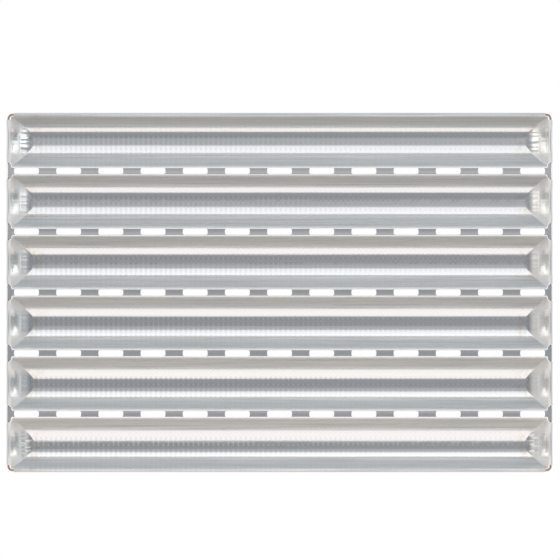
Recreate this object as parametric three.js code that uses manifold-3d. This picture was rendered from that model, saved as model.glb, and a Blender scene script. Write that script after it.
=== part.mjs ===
// Baguette pan: round-bottomed sheet troughs side by side, closed by sloping end plates, joined by
// slotted ridge strips and carried by one steel wire that the rim is rolled round.
// Millimetres. X runs along the troughs, Y across them, Z up from the surface that the pan stands on.

import * as THREE from 'three';
import { mergeVertices } from 'three/addons/utils/BufferGeometryUtils.js';
import Module from 'manifold-3d';

const wasm = await Module();
wasm.setup();

// Overall size; the width follows from the troughs
const PAN_LENGTH = 600;
const PAN_HEIGHT = 28;

// Stock, and the clearance between two pieces that touch
const SHEET = 0.6;
const WIRE = 2.4;
const FIT = 0.3;

// Troughs, from middle to middle and from an outer one's middle to the pan's edge
const TROUGH_COUNT = 6;
const TROUGH_PITCH = 66.75;
const RIM_REACH = 30.6;
const FLOOR_WIDTH = 4;
const WALL_ANGLE = 72;
const RIM_WALL_ANGLE = 78;

// Trough ends: slope, length on plan and how far under the floor they would level out
const END_ANGLE = 68;
const END_RUN = 32.6;
const END_FOOT = 0.5;

// Ridge strips, whose sides lie on the troughs' walls, and their air slots
const RIDGE_FLAT = 6.8;
const RIDGE_BEND = 1.5;
const RIDGE_SIDE = 3;
const SLOT_LENGTH = 27.3;
const SLOT_WIDTH = 6.6;
const SLOT_CORNER = 1.8;
const SLOT_PITCH = 46.35;
const LEAST_END_LAND = 8;

// Perforations: a plain grid that stands for finely punched sheet, with a row on a trough's floor and
// one on each side, where the sheet has the given slope
const VENT_SIZE = 3.2;
const VENT_COLUMNS = 12;
const VENT_SLOPE = 30;

// Rim: where each roll ends under the wire, and the wire left bare at corners and notches
const WIRE_CORNER_RADIUS = 4.5;
const ROLL_END_ANGLE = -100;
const BARE_WIRE = 1.2;

// Facets: half of a bend's and of a slot corner's, a roll's, a strip's folds and hooks, the wire's
const BEND_STEPS = 3;
const SLOT_STEPS = 1;
const ROLL_STEPS = 8;
const FOLD_STEPS = 2;
const HOOK_STEPS = 5;
const WIRE_SIDES = 8;
const CORNER_STEPS = 5;

// Worked out from the sizes above; angles are given from level, in degrees
const wallAngle = THREE.MathUtils.degToRad(WALL_ANGLE);
const rimWallAngle = THREE.MathUtils.degToRad(RIM_WALL_ANGLE);
const endAngle = THREE.MathUtils.degToRad(END_ANGLE);
const ventSlope = THREE.MathUtils.degToRad(VENT_SLOPE);
const rollEndAngle = THREE.MathUtils.degToRad(ROLL_END_ANGLE);
const rollRadius = WIRE / 2 + FIT + SHEET;
const rollMiddle = rollRadius - SHEET / 2;
const panWidth = (TROUGH_COUNT - 1) * TROUGH_PITCH + 2 * RIM_REACH;
const wireX = PAN_LENGTH / 2 - rollRadius;
const wireY = panWidth / 2 - rollRadius;
const wireZ = PAN_HEIGHT - rollRadius;
const foldLength = (RIDGE_BEND - SHEET / 2) * wallAngle;
const hookReach = RIDGE_FLAT / 2 + foldLength + RIDGE_SIDE;
const floorEdge = new THREE.Vector2(FLOOR_WIDTH / 2, SHEET / 2);
const below = -2 * SHEET;
const above = PAN_HEIGHT + 2 * SHEET;
const notchX = wireX - WIRE_CORNER_RADIUS - BARE_WIRE;
const notchZ = wireZ - rollRadius - FIT;

// One closed body from a geometry, and back again
function solid(geometry) {
  const bare = geometry.clone();
  bare.deleteAttribute('normal');
  bare.deleteAttribute('uv');
  const merged = mergeVertices(bare, 1e-4);
  return new wasm.Manifold(new wasm.Mesh({
    numProp: 3,
    vertProperties: new Float32Array(merged.attributes.position.array),
    triVerts: new Uint32Array(merged.index.array),
  }));
}

function geometryOf(body) {
  const mesh = body.getMesh();
  const geometry = new THREE.BufferGeometry();
  geometry.setAttribute('position', new THREE.BufferAttribute(mesh.vertProperties, mesh.numProp));
  geometry.setIndex(new THREE.BufferAttribute(mesh.triVerts, 1));
  geometry.computeVertexNormals();
  return geometry;
}

// A line moved sideways by a distance, to its left when positive, with mitred corners
function offsetLine(points, distance) {
  const line = points.filter((p, i) => i === 0 || p.distanceTo(points[i - 1]) > 1e-6);
  const normals = line.slice(1).map((p, i) => {
    const along = p.clone().sub(line[i]).normalize();
    return new THREE.Vector2(-along.y, along.x);
  });
  return line.map((p, i) => {
    const before = normals[Math.max(i - 1, 0)];
    const after = normals[Math.min(i, normals.length - 1)];
    const mitre = before.clone().add(after).normalize();
    return p.clone().addScaledVector(mitre, distance / mitre.dot(before));
  });
}

// The section of a bent sheet, from the line along the middle of its thickness
function sheetSection(middle) {
  const left = offsetLine(middle, SHEET / 2);
  const right = offsetLine(middle, -SHEET / 2);
  return new THREE.Shape([...left, ...right.reverse()]);
}

// A section drawn in Y and Z, run along X
function alongX(section, length) {
  const geometry = new THREE.ExtrudeGeometry(section, { depth: length, bevelEnabled: false });
  geometry.translate(0, 0, -length / 2);
  const turn = new THREE.Matrix4().makeBasis(
    new THREE.Vector3(0, 1, 0), new THREE.Vector3(0, 0, 1), new THREE.Vector3(1, 0, 0));
  return solid(geometry.applyMatrix4(turn));
}

// A section drawn in X and Z, run along Y
function alongY(section, width) {
  const geometry = new THREE.ExtrudeGeometry(section, { depth: width, bevelEnabled: false });
  geometry.translate(0, 0, -width / 2);
  return solid(geometry.rotateX(Math.PI / 2));
}

// The radius of a bend that leaves level at a start and aims straight at a top, at an angle
function bendRadius(start, top, angle) {
  const run = top.x - start.x;
  const rise = top.y - start.y;
  return (run * Math.sin(angle) - rise * Math.cos(angle)) / (1 - Math.cos(angle));
}

// The line that this bend and the straight run beyond it make
function risingLine(start, top, angle) {
  const bend = bendRadius(start, top, angle);
  const path = new THREE.Path();
  path.absarc(start.x, start.y + bend, bend, -Math.PI / 2, angle - Math.PI / 2, false);
  path.lineTo(top.x, top.y);
  return path.getPoints(BEND_STEPS);
}

// A sheet's edge rolled over the wire, from the slope that it comes up at
function rollLine(centre, slope) {
  const start = Math.PI / 2 + slope;
  const roll = new THREE.EllipseCurve(centre, wireZ, rollMiddle, rollMiddle, start, rollEndAngle, true);
  return roll.getPoints(ROLL_STEPS);
}

// A trough's wall from the floor's edge up to its end under a ridge strip's bend, or to the rim's roll
function wallSlope(edge) {
  return edge === 'rim' ? rimWallAngle : wallAngle;
}

function wallTop(edge) {
  const turn = Math.PI / 2 + wallSlope(edge);
  if (edge === 'rim') {
    return new THREE.Vector2(
      RIM_REACH - rollRadius + rollMiddle * Math.cos(turn), wireZ + rollMiddle * Math.sin(turn));
  }
  const inBend = RIDGE_BEND - SHEET - FIT - SHEET / 2;
  return new THREE.Vector2(
    (TROUGH_PITCH - RIDGE_FLAT) / 2 + inBend * Math.cos(turn),
    PAN_HEIGHT - RIDGE_BEND + inBend * Math.sin(turn));
}

function wallLine(edge) {
  return risingLine(floorEdge, wallTop(edge), wallSlope(edge));
}

// The whole wall: it ends plain under a ridge strip, or rolls over the wire
function wallWithEdge(edge) {
  if (edge === 'ridge') return wallLine(edge);
  return [...wallLine(edge), ...rollLine(RIM_REACH - rollRadius, wallSlope(edge))];
}

// Left wall mirrored, then right wall: one line across the trough
function across(leftPoints, rightPoints) {
  const left = leftPoints.map((p) => new THREE.Vector2(-p.x, p.y)).reverse();
  return [...left, ...rightPoints];
}

// The right end plate's slope, from its foot under the floor up to the roll
function endLine() {
  const turn = Math.PI / 2 + endAngle;
  const top = new THREE.Vector2(
    wireX + rollMiddle * Math.cos(turn), wireZ + rollMiddle * Math.sin(turn));
  return risingLine(new THREE.Vector2(top.x - END_RUN, -END_FOOT), top, endAngle);
}

// A block the width of the pan, mirrored about X = 0 from the outline of its right half
function mirroredBlock(right) {
  const left = right.map((p) => new THREE.Vector2(-p.x, p.y)).reverse();
  return alongY(new THREE.Shape([...right, ...left]), panWidth);
}

// Where a row of perforations stands on one side's bend
function ventRow(edge, side) {
  const bend = bendRadius(floorEdge, wallTop(edge), wallSlope(edge));
  return {
    y: side * (floorEdge.x + bend * Math.sin(ventSlope)),
    z: floorEdge.y + bend * (1 - Math.cos(ventSlope)),
    slope: side * ventSlope,
  };
}

// The perforations, punched square to the sheet
function perforated(trough, frontEdge, backEdge) {
  const rows = [ventRow(frontEdge, -1), { y: 0, z: floorEdge.y, slope: 0 }, ventRow(backEdge, 1)];
  const pitch = (PAN_LENGTH - 2 * END_RUN) / VENT_COLUMNS;
  let sheet = trough;
  for (const { y, z, slope } of rows) {
    for (let i = 0; i < VENT_COLUMNS; i += 1) {
      const punch = new THREE.BoxGeometry(VENT_SIZE, VENT_SIZE, 4 * SHEET);
      punch.rotateX(slope).translate((i - (VENT_COLUMNS - 1) / 2) * pitch, y, z);
      sheet = sheet.subtract(solid(punch));
    }
  }
  return sheet;
}

// Trough: the bent sheet, cut at both ends to meet the end plates and notched at its upper corners
function troughGeometry(frontEdge, backEdge) {
  const section = sheetSection(across(wallWithEdge(frontEdge), wallWithEdge(backEdge)));
  const meeting = offsetLine(endLine(), SHEET / 2 + FIT);
  const first = meeting[0];
  const last = meeting[meeting.length - 1];
  const betweenEnds = mirroredBlock([
    new THREE.Vector2(first.x, below), ...meeting, new THREE.Vector2(last.x, above),
  ]);
  const notched = mirroredBlock([
    new THREE.Vector2(PAN_LENGTH / 2, below), new THREE.Vector2(PAN_LENGTH / 2, notchZ),
    new THREE.Vector2(notchX, notchZ), new THREE.Vector2(notchX, above),
  ]);
  const trough = alongX(section, PAN_LENGTH).intersect(betweenEnds).intersect(notched);
  return geometryOf(perforated(trough, frontEdge, backEdge));
}

// Half the width of an end plate's roll, which stops short of a hook or of the rim's corner
function rollHalfWidth(edge) {
  if (edge === 'rim') return RIM_REACH - rollRadius - WIRE_CORNER_RADIUS - BARE_WIRE;
  return TROUGH_PITCH / 2 - hookReach - BARE_WIRE;
}

// End plate: slopes up from the trough's floor and rolls over the wire between its two notches
function endPlateGeometry(side, frontEdge, backEdge) {
  const right = [...endLine(), ...rollLine(wireX, endAngle)];
  const middle = right.map((p) => new THREE.Vector2(side * p.x, p.y));
  const plate = alongY(sheetSection(middle), 2 * TROUGH_PITCH);

  const under = offsetLine(across(wallLine(frontEdge), wallLine(backEdge)), -SHEET / 2);
  const front = under[0].x;
  const back = under[under.length - 1].x;
  const troughOutline = new THREE.Shape([
    new THREE.Vector2(front, above), ...under, new THREE.Vector2(back, above),
  ]);
  const frontRoll = -rollHalfWidth(frontEdge);
  const backRoll = rollHalfWidth(backEdge);
  const notchedOutline = new THREE.Shape([
    new THREE.Vector2(front - SHEET, below), new THREE.Vector2(back + SHEET, below),
    new THREE.Vector2(back + SHEET, notchZ), new THREE.Vector2(backRoll, notchZ),
    new THREE.Vector2(backRoll, above), new THREE.Vector2(frontRoll, above),
    new THREE.Vector2(frontRoll, notchZ), new THREE.Vector2(front - SHEET, notchZ),
  ]);
  const reach = PAN_LENGTH + 2 * rollRadius;
  const shaped = plate.intersect(alongX(troughOutline, reach));
  return geometryOf(shaped.intersect(alongX(notchedOutline, reach)));
}

// Air slot: a hole with rounded corners through the top of a ridge strip
function slotSolid(x) {
  const outX = SLOT_LENGTH / 2 - SLOT_CORNER;
  const outY = SLOT_WIDTH / 2 - SLOT_CORNER;
  const outline = new THREE.Shape();
  outline.absarc(outX, outY, SLOT_CORNER, 0, Math.PI / 2, false);
  outline.absarc(-outX, outY, SLOT_CORNER, Math.PI / 2, Math.PI, false);
  outline.absarc(-outX, -outY, SLOT_CORNER, Math.PI, 3 * Math.PI / 2, false);
  outline.absarc(outX, -outY, SLOT_CORNER, 3 * Math.PI / 2, 2 * Math.PI, false);
  const hole = new THREE.ExtrudeGeometry(
    outline, { depth: 3 * SHEET, bevelEnabled: false, curveSegments: SLOT_STEPS });
  return solid(hole.translate(x, 0, PAN_HEIGHT - 2 * SHEET));
}

// Half of a ridge strip's section, from its flat top outwards, with its side folded down by an angle
function foldedHalf(fold) {
  const curl = fold / foldLength;
  const points = [];
  for (let i = 0; i <= FOLD_STEPS; i += 1) {
    const along = foldLength * i / FOLD_STEPS;
    const turn = curl * along;
    const out = curl > 0 ? Math.sin(turn) / curl : along;
    const drop = curl > 0 ? (1 - Math.cos(turn)) / curl : 0;
    points.push({ y: RIDGE_FLAT / 2 + out, drop, turn });
  }
  const edge = points[FOLD_STEPS];
  const y = edge.y + RIDGE_SIDE * Math.cos(fold);
  points.push({ y, drop: edge.drop + RIDGE_SIDE * Math.sin(fold), turn: fold });
  return points;
}

// Where a ridge strip's section stands along its right half: folded, opening out, then round the wire
function ridgeStations() {
  const level = PAN_HEIGHT - SHEET / 2;
  const stations = [];
  for (let i = 0; i <= FOLD_STEPS; i += 1) {
    const opened = i / FOLD_STEPS;
    const x = THREE.MathUtils.lerp(notchX, wireX - rollRadius, opened);
    stations.push({ x, z: level, tilt: Math.PI / 2, fold: (1 - opened) * wallAngle });
  }
  for (let i = 0; i <= HOOK_STEPS; i += 1) {
    const tilt = THREE.MathUtils.lerp(Math.PI / 2, rollEndAngle, i / HOOK_STEPS);
    const x = wireX + rollMiddle * Math.cos(tilt);
    stations.push({ x, z: wireZ + rollMiddle * Math.sin(tilt), tilt, fold: 0 });
  }
  return stations;
}

// The two faces and four edges of a sheet, from rows of points on its middle with their normals
function sheetGeometry(rows) {
  const positions = [];
  const indices = [];
  const width = rows[0].length;
  for (const face of [SHEET / 2, -SHEET / 2]) {
    for (const { place, normal } of rows.flat()) {
      positions.push(...place.clone().addScaledVector(normal, face).toArray());
    }
  }
  const under = rows.length * width;
  const quad = (a, b, c, d) => indices.push(a, b, c, a, c, d);
  for (let i = 0; i < rows.length - 1; i += 1) {
    const here = i * width;
    const next = here + width;
    for (let j = 0; j < width - 1; j += 1) {
      quad(here + j, next + j, next + j + 1, here + j + 1);
      quad(under + here + j + 1, under + next + j + 1, under + next + j, under + here + j);
    }
    const last = width - 1;
    quad(here, under + here, under + next, next);
    quad(next + last, under + next + last, under + here + last, here + last);
  }
  const end = (rows.length - 1) * width;
  for (let j = 0; j < width - 1; j += 1) {
    quad(j, j + 1, under + j + 1, under + j);
    quad(end + j + 1, end + j, under + end + j, under + end + j + 1);
  }
  const geometry = new THREE.BufferGeometry();
  geometry.setAttribute('position', new THREE.Float32BufferAttribute(positions, 3));
  geometry.setIndex(indices);
  return geometry;
}

// Ridge strip: a saddle that caps the edges of two troughs, opening out to a hook over each end wire
function ridgeGeometry() {
  const right = ridgeStations();
  const left = right.map((s) => ({ ...s, x: -s.x, tilt: Math.PI - s.tilt })).reverse();
  const rows = [...left, ...right].map(({ x, z, tilt, fold }) => {
    const half = foldedHalf(fold);
    const mirrored = half.map((p) => ({ y: -p.y, drop: p.drop, turn: -p.turn })).reverse();
    const up = new THREE.Vector3(Math.cos(tilt), 0, Math.sin(tilt));
    const side = new THREE.Vector3(0, 1, 0);
    return [...mirrored, ...half].map(({ y, drop, turn }) => ({
      place: new THREE.Vector3(x, y, z).addScaledVector(up, -drop),
      normal: up.clone().multiplyScalar(Math.cos(turn)).addScaledVector(side, Math.sin(turn)),
    }));
  });
  let strip = solid(sheetGeometry(rows));

  const room = PAN_LENGTH - 2 * LEAST_END_LAND - SLOT_LENGTH;
  const slots = Math.floor(room / SLOT_PITCH) + 1;
  for (let i = 0; i < slots; i += 1) {
    strip = strip.subtract(slotSolid((i - (slots - 1) / 2) * SLOT_PITCH));
  }
  return geometryOf(strip);
}

// Rim wire: one closed ring of round wire with bent corners
function rimWireGeometry() {
  const positions = [];
  const indices = [];
  const stations = 4 * (CORNER_STEPS + 1);
  for (let corner = 0; corner < 4; corner += 1) {
    const quarter = corner * Math.PI / 2;
    const middle = quarter + Math.PI / 4;
    const x = Math.sign(Math.cos(middle)) * (wireX - WIRE_CORNER_RADIUS);
    const y = Math.sign(Math.sin(middle)) * (wireY - WIRE_CORNER_RADIUS);
    for (let step = 0; step <= CORNER_STEPS; step += 1) {
      const turn = quarter + step / CORNER_STEPS * Math.PI / 2;
      for (let side = 0; side < WIRE_SIDES; side += 1) {
        const round = side / WIRE_SIDES * 2 * Math.PI;
        const reach = WIRE_CORNER_RADIUS + WIRE / 2 * Math.cos(round);
        positions.push(
          x + reach * Math.cos(turn), y + reach * Math.sin(turn), wireZ + WIRE / 2 * Math.sin(round));
      }
    }
  }
  for (let station = 0; station < stations; station += 1) {
    const next = (station + 1) % stations;
    for (let side = 0; side < WIRE_SIDES; side += 1) {
      const beside = (side + 1) % WIRE_SIDES;
      const a = station * WIRE_SIDES + side;
      const b = next * WIRE_SIDES + side;
      const c = next * WIRE_SIDES + beside;
      const d = station * WIRE_SIDES + beside;
      indices.push(a, b, c, a, c, d);
    }
  }
  const geometry = new THREE.BufferGeometry();
  geometry.setAttribute('position', new THREE.Float32BufferAttribute(positions, 3));
  geometry.setIndex(indices);
  geometry.computeVertexNormals();
  return geometry;
}

// Finishes: bright aluminised steel sheet, and bare steel wire gone brown in the oven
const brightSheet = new THREE.MeshStandardMaterial({ color: 0xc6c8c9, roughness: 0.24, metalness: 1 });
const brownWire = new THREE.MeshStandardMaterial({ color: 0x7d5a44, roughness: 0.55, metalness: 1 });

function piece(name, geometry, material, y = 0) {
  const mesh = new THREE.Mesh(geometry, material);
  mesh.name = name;
  mesh.position.y = y;
  return mesh;
}

const pan = new THREE.Group();
pan.add(piece('rim_wire', rimWireGeometry(), brownWire));

for (let i = 0; i < TROUGH_COUNT; i += 1) {
  const y = ((TROUGH_COUNT - 1) / 2 - i) * TROUGH_PITCH;
  const frontEdge = i === TROUGH_COUNT - 1 ? 'rim' : 'ridge';
  const backEdge = i === 0 ? 'rim' : 'ridge';
  const number = i + 1;
  pan.add(piece(`trough_${number}`, troughGeometry(frontEdge, backEdge), brightSheet, y));
  pan.add(piece(`end_plate_left_${number}`, endPlateGeometry(-1, frontEdge, backEdge), brightSheet, y));
  pan.add(piece(`end_plate_right_${number}`, endPlateGeometry(1, frontEdge, backEdge), brightSheet, y));
}

const ridge = ridgeGeometry();
for (let i = 0; i < TROUGH_COUNT - 1; i += 1) {
  const y = ((TROUGH_COUNT - 2) / 2 - i) * TROUGH_PITCH;
  pan.add(piece(`ridge_strip_${i + 1}`, ridge, brightSheet, y));
}

export default pan;
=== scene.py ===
"""Baguette pan: perforated steel troughs with sloping ends, slotted ridge strips and a wired rim.

Laid out as an add-on and run as a script. Sizes are in metres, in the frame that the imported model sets.
"""

import math
from functools import partial
from typing import NamedTuple

import bpy
import numpy as np
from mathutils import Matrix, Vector
from mathutils.geometry import delaunay_2d_cdt


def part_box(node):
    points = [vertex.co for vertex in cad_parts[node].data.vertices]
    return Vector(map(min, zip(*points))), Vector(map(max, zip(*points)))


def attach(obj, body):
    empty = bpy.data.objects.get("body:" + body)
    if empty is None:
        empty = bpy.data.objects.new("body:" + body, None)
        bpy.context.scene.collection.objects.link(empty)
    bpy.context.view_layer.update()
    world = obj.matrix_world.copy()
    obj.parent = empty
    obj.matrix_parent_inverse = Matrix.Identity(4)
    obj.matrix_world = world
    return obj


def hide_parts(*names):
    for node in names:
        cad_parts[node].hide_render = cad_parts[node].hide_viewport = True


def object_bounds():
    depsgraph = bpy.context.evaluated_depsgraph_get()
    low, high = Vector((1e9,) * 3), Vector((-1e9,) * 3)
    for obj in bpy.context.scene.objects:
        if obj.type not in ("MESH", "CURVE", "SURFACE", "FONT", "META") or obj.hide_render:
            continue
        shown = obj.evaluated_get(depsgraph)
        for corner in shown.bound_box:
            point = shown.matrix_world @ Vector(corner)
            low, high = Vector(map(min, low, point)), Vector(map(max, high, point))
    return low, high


bl_info = {
    "name": "Baguette Pan",
    "version": (1, 0, 0),
    "blender": (4, 5, 0),
    "location": "View3D > Sidebar > Pan",
    "description": "Builds a perforated baguette pan and the stage that it stands on",
    "category": "Object",
}

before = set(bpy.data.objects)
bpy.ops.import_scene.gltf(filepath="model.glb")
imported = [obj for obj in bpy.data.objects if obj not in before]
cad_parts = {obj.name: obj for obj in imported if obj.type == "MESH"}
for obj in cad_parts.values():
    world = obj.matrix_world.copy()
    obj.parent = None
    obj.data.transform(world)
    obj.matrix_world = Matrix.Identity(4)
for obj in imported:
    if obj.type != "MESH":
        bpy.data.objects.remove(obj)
CAD_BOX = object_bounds()
PAN_LOW, PAN_HIGH = CAD_BOX
TROUGHS = sum(name.startswith("trough_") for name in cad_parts)
MM = 0.001


def node_middle(name):
    """The middle of a CAD node's box."""
    low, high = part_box(name)
    return (low + high) / 2


TROUGH_PITCH = node_middle("ridge_strip_1").y - node_middle("ridge_strip_2").y

# How finely the sheets are cut: steps round a bend and along each kind of piece, what counts as no step at
# all, and points up a section or a crease, over a crown and round a fold.
BEND_STEP = 0.5 * MM
TROUGH_STEP = 15 * MM
PLATE_STEP = 6 * MM
STRIP_STEP = 8 * MM
ROUNDING = 1e-9
SECTION_POINTS = 800
CREASE_POINTS = 26
CROWN_POINTS = 9
FOLD_POINTS = 7


def linear(colour):
    """Linear red, green and blue from an sRGB hex value."""
    channels = [int(colour[i:i + 2], 16) / 255 for i in (0, 2, 4)]
    return [c / 12.92 if c <= 0.04045 else ((c + 0.055) / 1.055) ** 2.4 for c in channels]


def length_prop(name, description, millimetres):
    """A length that a user may change."""
    return bpy.props.FloatProperty(
        name=name, description=description, default=millimetres * MM, unit="LENGTH", precision=5)


def angle_prop(name, description, degrees):
    """An angle that a user may change."""
    return bpy.props.FloatProperty(
        name=name, description=description, default=math.radians(degrees), subtype="ANGLE")


def colour_prop(name, description, colour):
    """A colour that a user may change."""
    return bpy.props.FloatVectorProperty(
        name=name, description=description, default=linear(colour), subtype="COLOR", size=3)


def share_prop(name, description, value):
    """A plain number that a user may change."""
    return bpy.props.FloatProperty(name=name, description=description, default=value)


class PanSizes(bpy.types.PropertyGroup):
    """Sizes of the pan's sheet, ends, strips, holes and wire"""
    sheet: length_prop("Sheet", "Thickness of the steel sheet", 0.6)
    wire: length_prop("Wire", "Diameter of the rim wire", 2.4)
    fit: length_prop("Fit", "Clearance between two pieces that touch", 0.3)
    floor_width: length_prop("Floor width", "Flat strip along the bottom of a trough", 4)
    wall_angle: angle_prop("Wall angle", "Slope of a trough's upper wall", 72)
    rim_wall_angle: angle_prop("Rim wall angle", "Slope of the outer troughs' walls below the rim", 78)
    end_angle: angle_prop("End angle", "Slope of an end plate's upper part", 68)
    end_run: length_prop("End run", "Length of an end plate on plan", 32.6)
    end_foot: length_prop("End foot", "Depth under the floor at which an end plate would level out", 0.5)
    roll_end: angle_prop("Roll end", "How far a rolled edge goes on past the wire's outer side", 100)
    crease: length_prop("Crease", "How far to either side the crease is rounded", 0.4)
    bare_wire: length_prop("Bare wire", "Wire left bare beside a hook and at a corner", 1.2)
    wire_corner: length_prop("Wire corner", "Radius of the wire's corners", 4.5)
    ridge_flat: length_prop("Ridge flat", "Width of a ridge strip's top", 6.8)
    ridge_bend: length_prop("Ridge bend", "Outer radius of a ridge strip's bends", 1.5)
    ridge_soft: length_prop("Ridge softening", "Radius that the strip's bends are eased to", 2.3)
    ridge_side: length_prop("Ridge side", "Width of a strip's sides, which lie on the walls", 3)
    ridge_crown: angle_prop("Ridge crown", "Tilt of a strip's top where its bends begin", -4)
    slot_length: length_prop("Slot length", "Length of an air slot", 27.3)
    slot_width: length_prop("Slot width", "Width of an air slot", 6.6)
    slot_corner: length_prop("Slot corner", "Radius of an air slot's corners", 1.8)
    slot_pitch: length_prop("Slot pitch", "Distance between air slots", 46.35)
    slots: bpy.props.IntProperty(name="Slots", description="Air slots in a strip", default=13)
    rim_pleat: length_prop("Rim pleat", "Depth of the pleats in the outer troughs' end plates", 0.072)
    ridge_pleat: length_prop("Ridge pleat", "Depth of the pleats in the other end plates", 0.0108)
    hole: length_prop("Hole", "Diameter of a perforation", 0.7)
    hole_pitch: length_prop("Hole pitch", "Distance between perforations", 5.5)
    hole_margin: length_prop("Hole margin", "Smooth sheet beside an edge or a crease", 3.5)
    hole_dish: angle_prop("Hole dish", "How far the sheet is drawn in round a perforation", 0.45)


class PanFinish(bpy.types.PropertyGroup):
    """Colours and gloss of the pan's steel"""
    sheet_colour: colour_prop("Sheet", "Bright aluminised steel", "F0F1F2")
    tint_colour: colour_prop("Oven tint", "Sheet warmed by the oven", "DDD0BE")
    # Painted shade and painted reflection: the next two colours are set on the walls by which way they face,
    # a warm shade on those that face the front and a cool bluish reflection on those that face the back.
    warm_wall_shade_colour: colour_prop("Browned wall", "Walls that face the oven door", "DDDAD3")
    cool_wall_reflection_colour: colour_prop("Cool wall", "Walls that face away from the oven door", "D4DBE1")
    streak_colour: colour_prop("Streaks", "Duller streaks along the walls", "C4C6C9")
    # Painted shade: the column colour greys the sheet along the columns of holes, standing in for the shaded
    # floor seen through them; it is stronger at the left and weaker at the right.
    column_shade_colour: colour_prop("Columns", "Sheet greyed along the columns of fine holes", "C8CACC")
    column_pitch: length_prop("Column pitch", "Distance between these columns", 5.5)
    column_shade_share: share_prop("Column share", "How strongly these columns show at the left", 0.24)
    column_shade_rest: share_prop("Column rest", "How strongly they show at the right, dulled by use", 0.08)
    wire_colour: colour_prop("Wire", "Bare steel wire browned by the oven", "C4A79B")
    wire_shade: share_prop("Wire shade", "How much of that colour the wire's dark patches keep", 0.6)
    # Painted shade: this grey darkens the outer side of the rolled edge.
    rim_shade_colour: colour_prop("Rim", "Rolled edge dulled by handling", "D2D4D7")
    # Painted highlight: the middle of an end plate takes this greyer colour, so that its corners look
    # lighter.
    plate_middle_shade_colour: colour_prop("End colour", "Middle of an end plate, greyed by its fine holes", "E0E2E3")
    sheet_roughness: share_prop("Sheet roughness", "Gloss of the rolled sheet", 0.16)
    wall_roughness: share_prop("Wall roughness", "Gloss of the walls, rubbed by loaves and cloths", 0.3)
    strip_roughness: share_prop("Strip roughness", "Gloss of the ridge strips", 0.2)
    wire_roughness: share_prop("Wire roughness", "Gloss of the bare wire", 0.24)
    wall_metal: share_prop("Wall metal", "Share of a wall that still reflects as bare metal", 0.2)
    roll_metal: share_prop("Roll metal", "Share of the rolled rim that still reflects so", 0.55)
    end_metal: share_prop("End metal", "Share of an end plate that still reflects so", 0.8)
    corner_metal: share_prop("Corner metal", "Part of that share left in an end plate's corners", 0.05)
    strip_metal: share_prop("Strip metal", "Share of a strip's sides that still reflects so", 0.2)
    wire_metal: share_prop("Wire metal", "Share of the wire that still reflects so", 0.9)


class PanStage(bpy.types.PropertyGroup):
    """Floor, light and camera"""
    floor_colour: colour_prop("Floor", "Plain white floor", "FFFFFF")
    contact_colour: colour_prop("Contact", "Floor in the pan's contact shadow", "B2B4B6")
    ceiling: colour_prop("Ceiling", "Dim studio ceiling", "97999C")
    ceiling_sides: colour_prop("Ceiling, sides", "Darker ceiling to the left and right", "666D78")
    wall_front: colour_prop("Wall, front", "Dim studio wall before the pan", "8E8F90")
    wall_left: colour_prop("Wall, left", "Warm grey studio wall to the left", "D2CCC6")
    wall_right: colour_prop("Wall, right", "Cool grey studio wall to the right", "A6ABAF")
    corner_front: colour_prop("Front corners", "Warm grey screens in the studio's front corners", "C4BEB6")
    corner_back: colour_prop("Back corners", "Cream screens in the studio's back corners", "F8F5EE")
    wall_back: colour_prop("Wall, back", "Studio wall behind the pan", "CED0D2")
    horizon: colour_prop("Horizon", "White cove at the foot of the walls", "FFFFFF")
    front_light: colour_prop("Front light", "Warm soft box before the pan", "FFF6F0")
    right_light: colour_prop("Right light", "Neutral soft box behind the pan, to the right", "FFFFFF")
    left_light: colour_prop("Left light", "Warm soft box behind the pan, to the left", "FFF6EC")
    back_light: colour_prop("Back light", "Neutral soft box behind the pan", "FFFFFF")
    camera_height: length_prop("Camera height", "Distance from the camera to the pan", 12000)
    camera_elevation: angle_prop("Camera elevation", "Angle of the camera above the floor", 90)
    view_width: length_prop("View width", "Width that the camera sees at the rim", 615.4)
    view_aside: length_prop("View aside", "How far right of the pan's middle the camera aims", 0.5)
    view_shift: length_prop("View shift", "How far beyond the pan's middle the camera aims", 13.7)


def columns(*parts):
    """Rows of numbers, and numbers that all share, set side by side as the columns of one array."""
    return np.stack(np.broadcast_arrays(*parts), axis=1)


def unit(vectors):
    """Vectors of length one."""
    return vectors / np.linalg.norm(vectors, axis=1, keepdims=True)


def smooth_step(value):
    """Nought to one with level ends."""
    held = np.clip(value, 0, 1)
    return held * held * (3 - 2 * held)


def steps_between(low, high, step):
    """Places from low to high, no further apart than a step."""
    return np.linspace(low, high, max(2, math.ceil((high - low) / step) + 1))


def chord(length, heading, turn):
    """The step along an arc, or a straight run where the turn is nought."""
    reach = length * np.sinc(turn / (2 * np.pi))
    middle = heading + turn / 2
    return reach * np.cos(middle), reach * np.sin(middle)


class BentLine:
    """The middle line of a bent sheet: runs that each have a length and a turn."""

    def __init__(self, start, runs):
        lengths, turns = np.array(runs, float).T
        self.begins = np.concatenate([[0], np.cumsum(lengths)[:-1]])
        self.headings = np.concatenate([[0], np.cumsum(turns)[:-1]])
        self.bends = turns / lengths
        self.length = lengths.sum()
        steps = columns(*chord(lengths, self.headings, turns))
        self.places = np.array(start) + np.concatenate([[(0, 0)], np.cumsum(steps, axis=0)[:-1]])

    def at(self, along):
        """Place across, height and heading at a distance along the line."""
        along = np.asarray(along, float)
        run = np.clip(np.searchsorted(self.begins, along, side="right") - 1, 0, len(self.begins) - 1)
        rest = along - self.begins[run]
        turn = self.bends[run] * rest
        across, up = chord(rest, self.headings[run], turn)
        return self.places[run, 0] + across, self.places[run, 1] + up, self.headings[run] + turn


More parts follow.
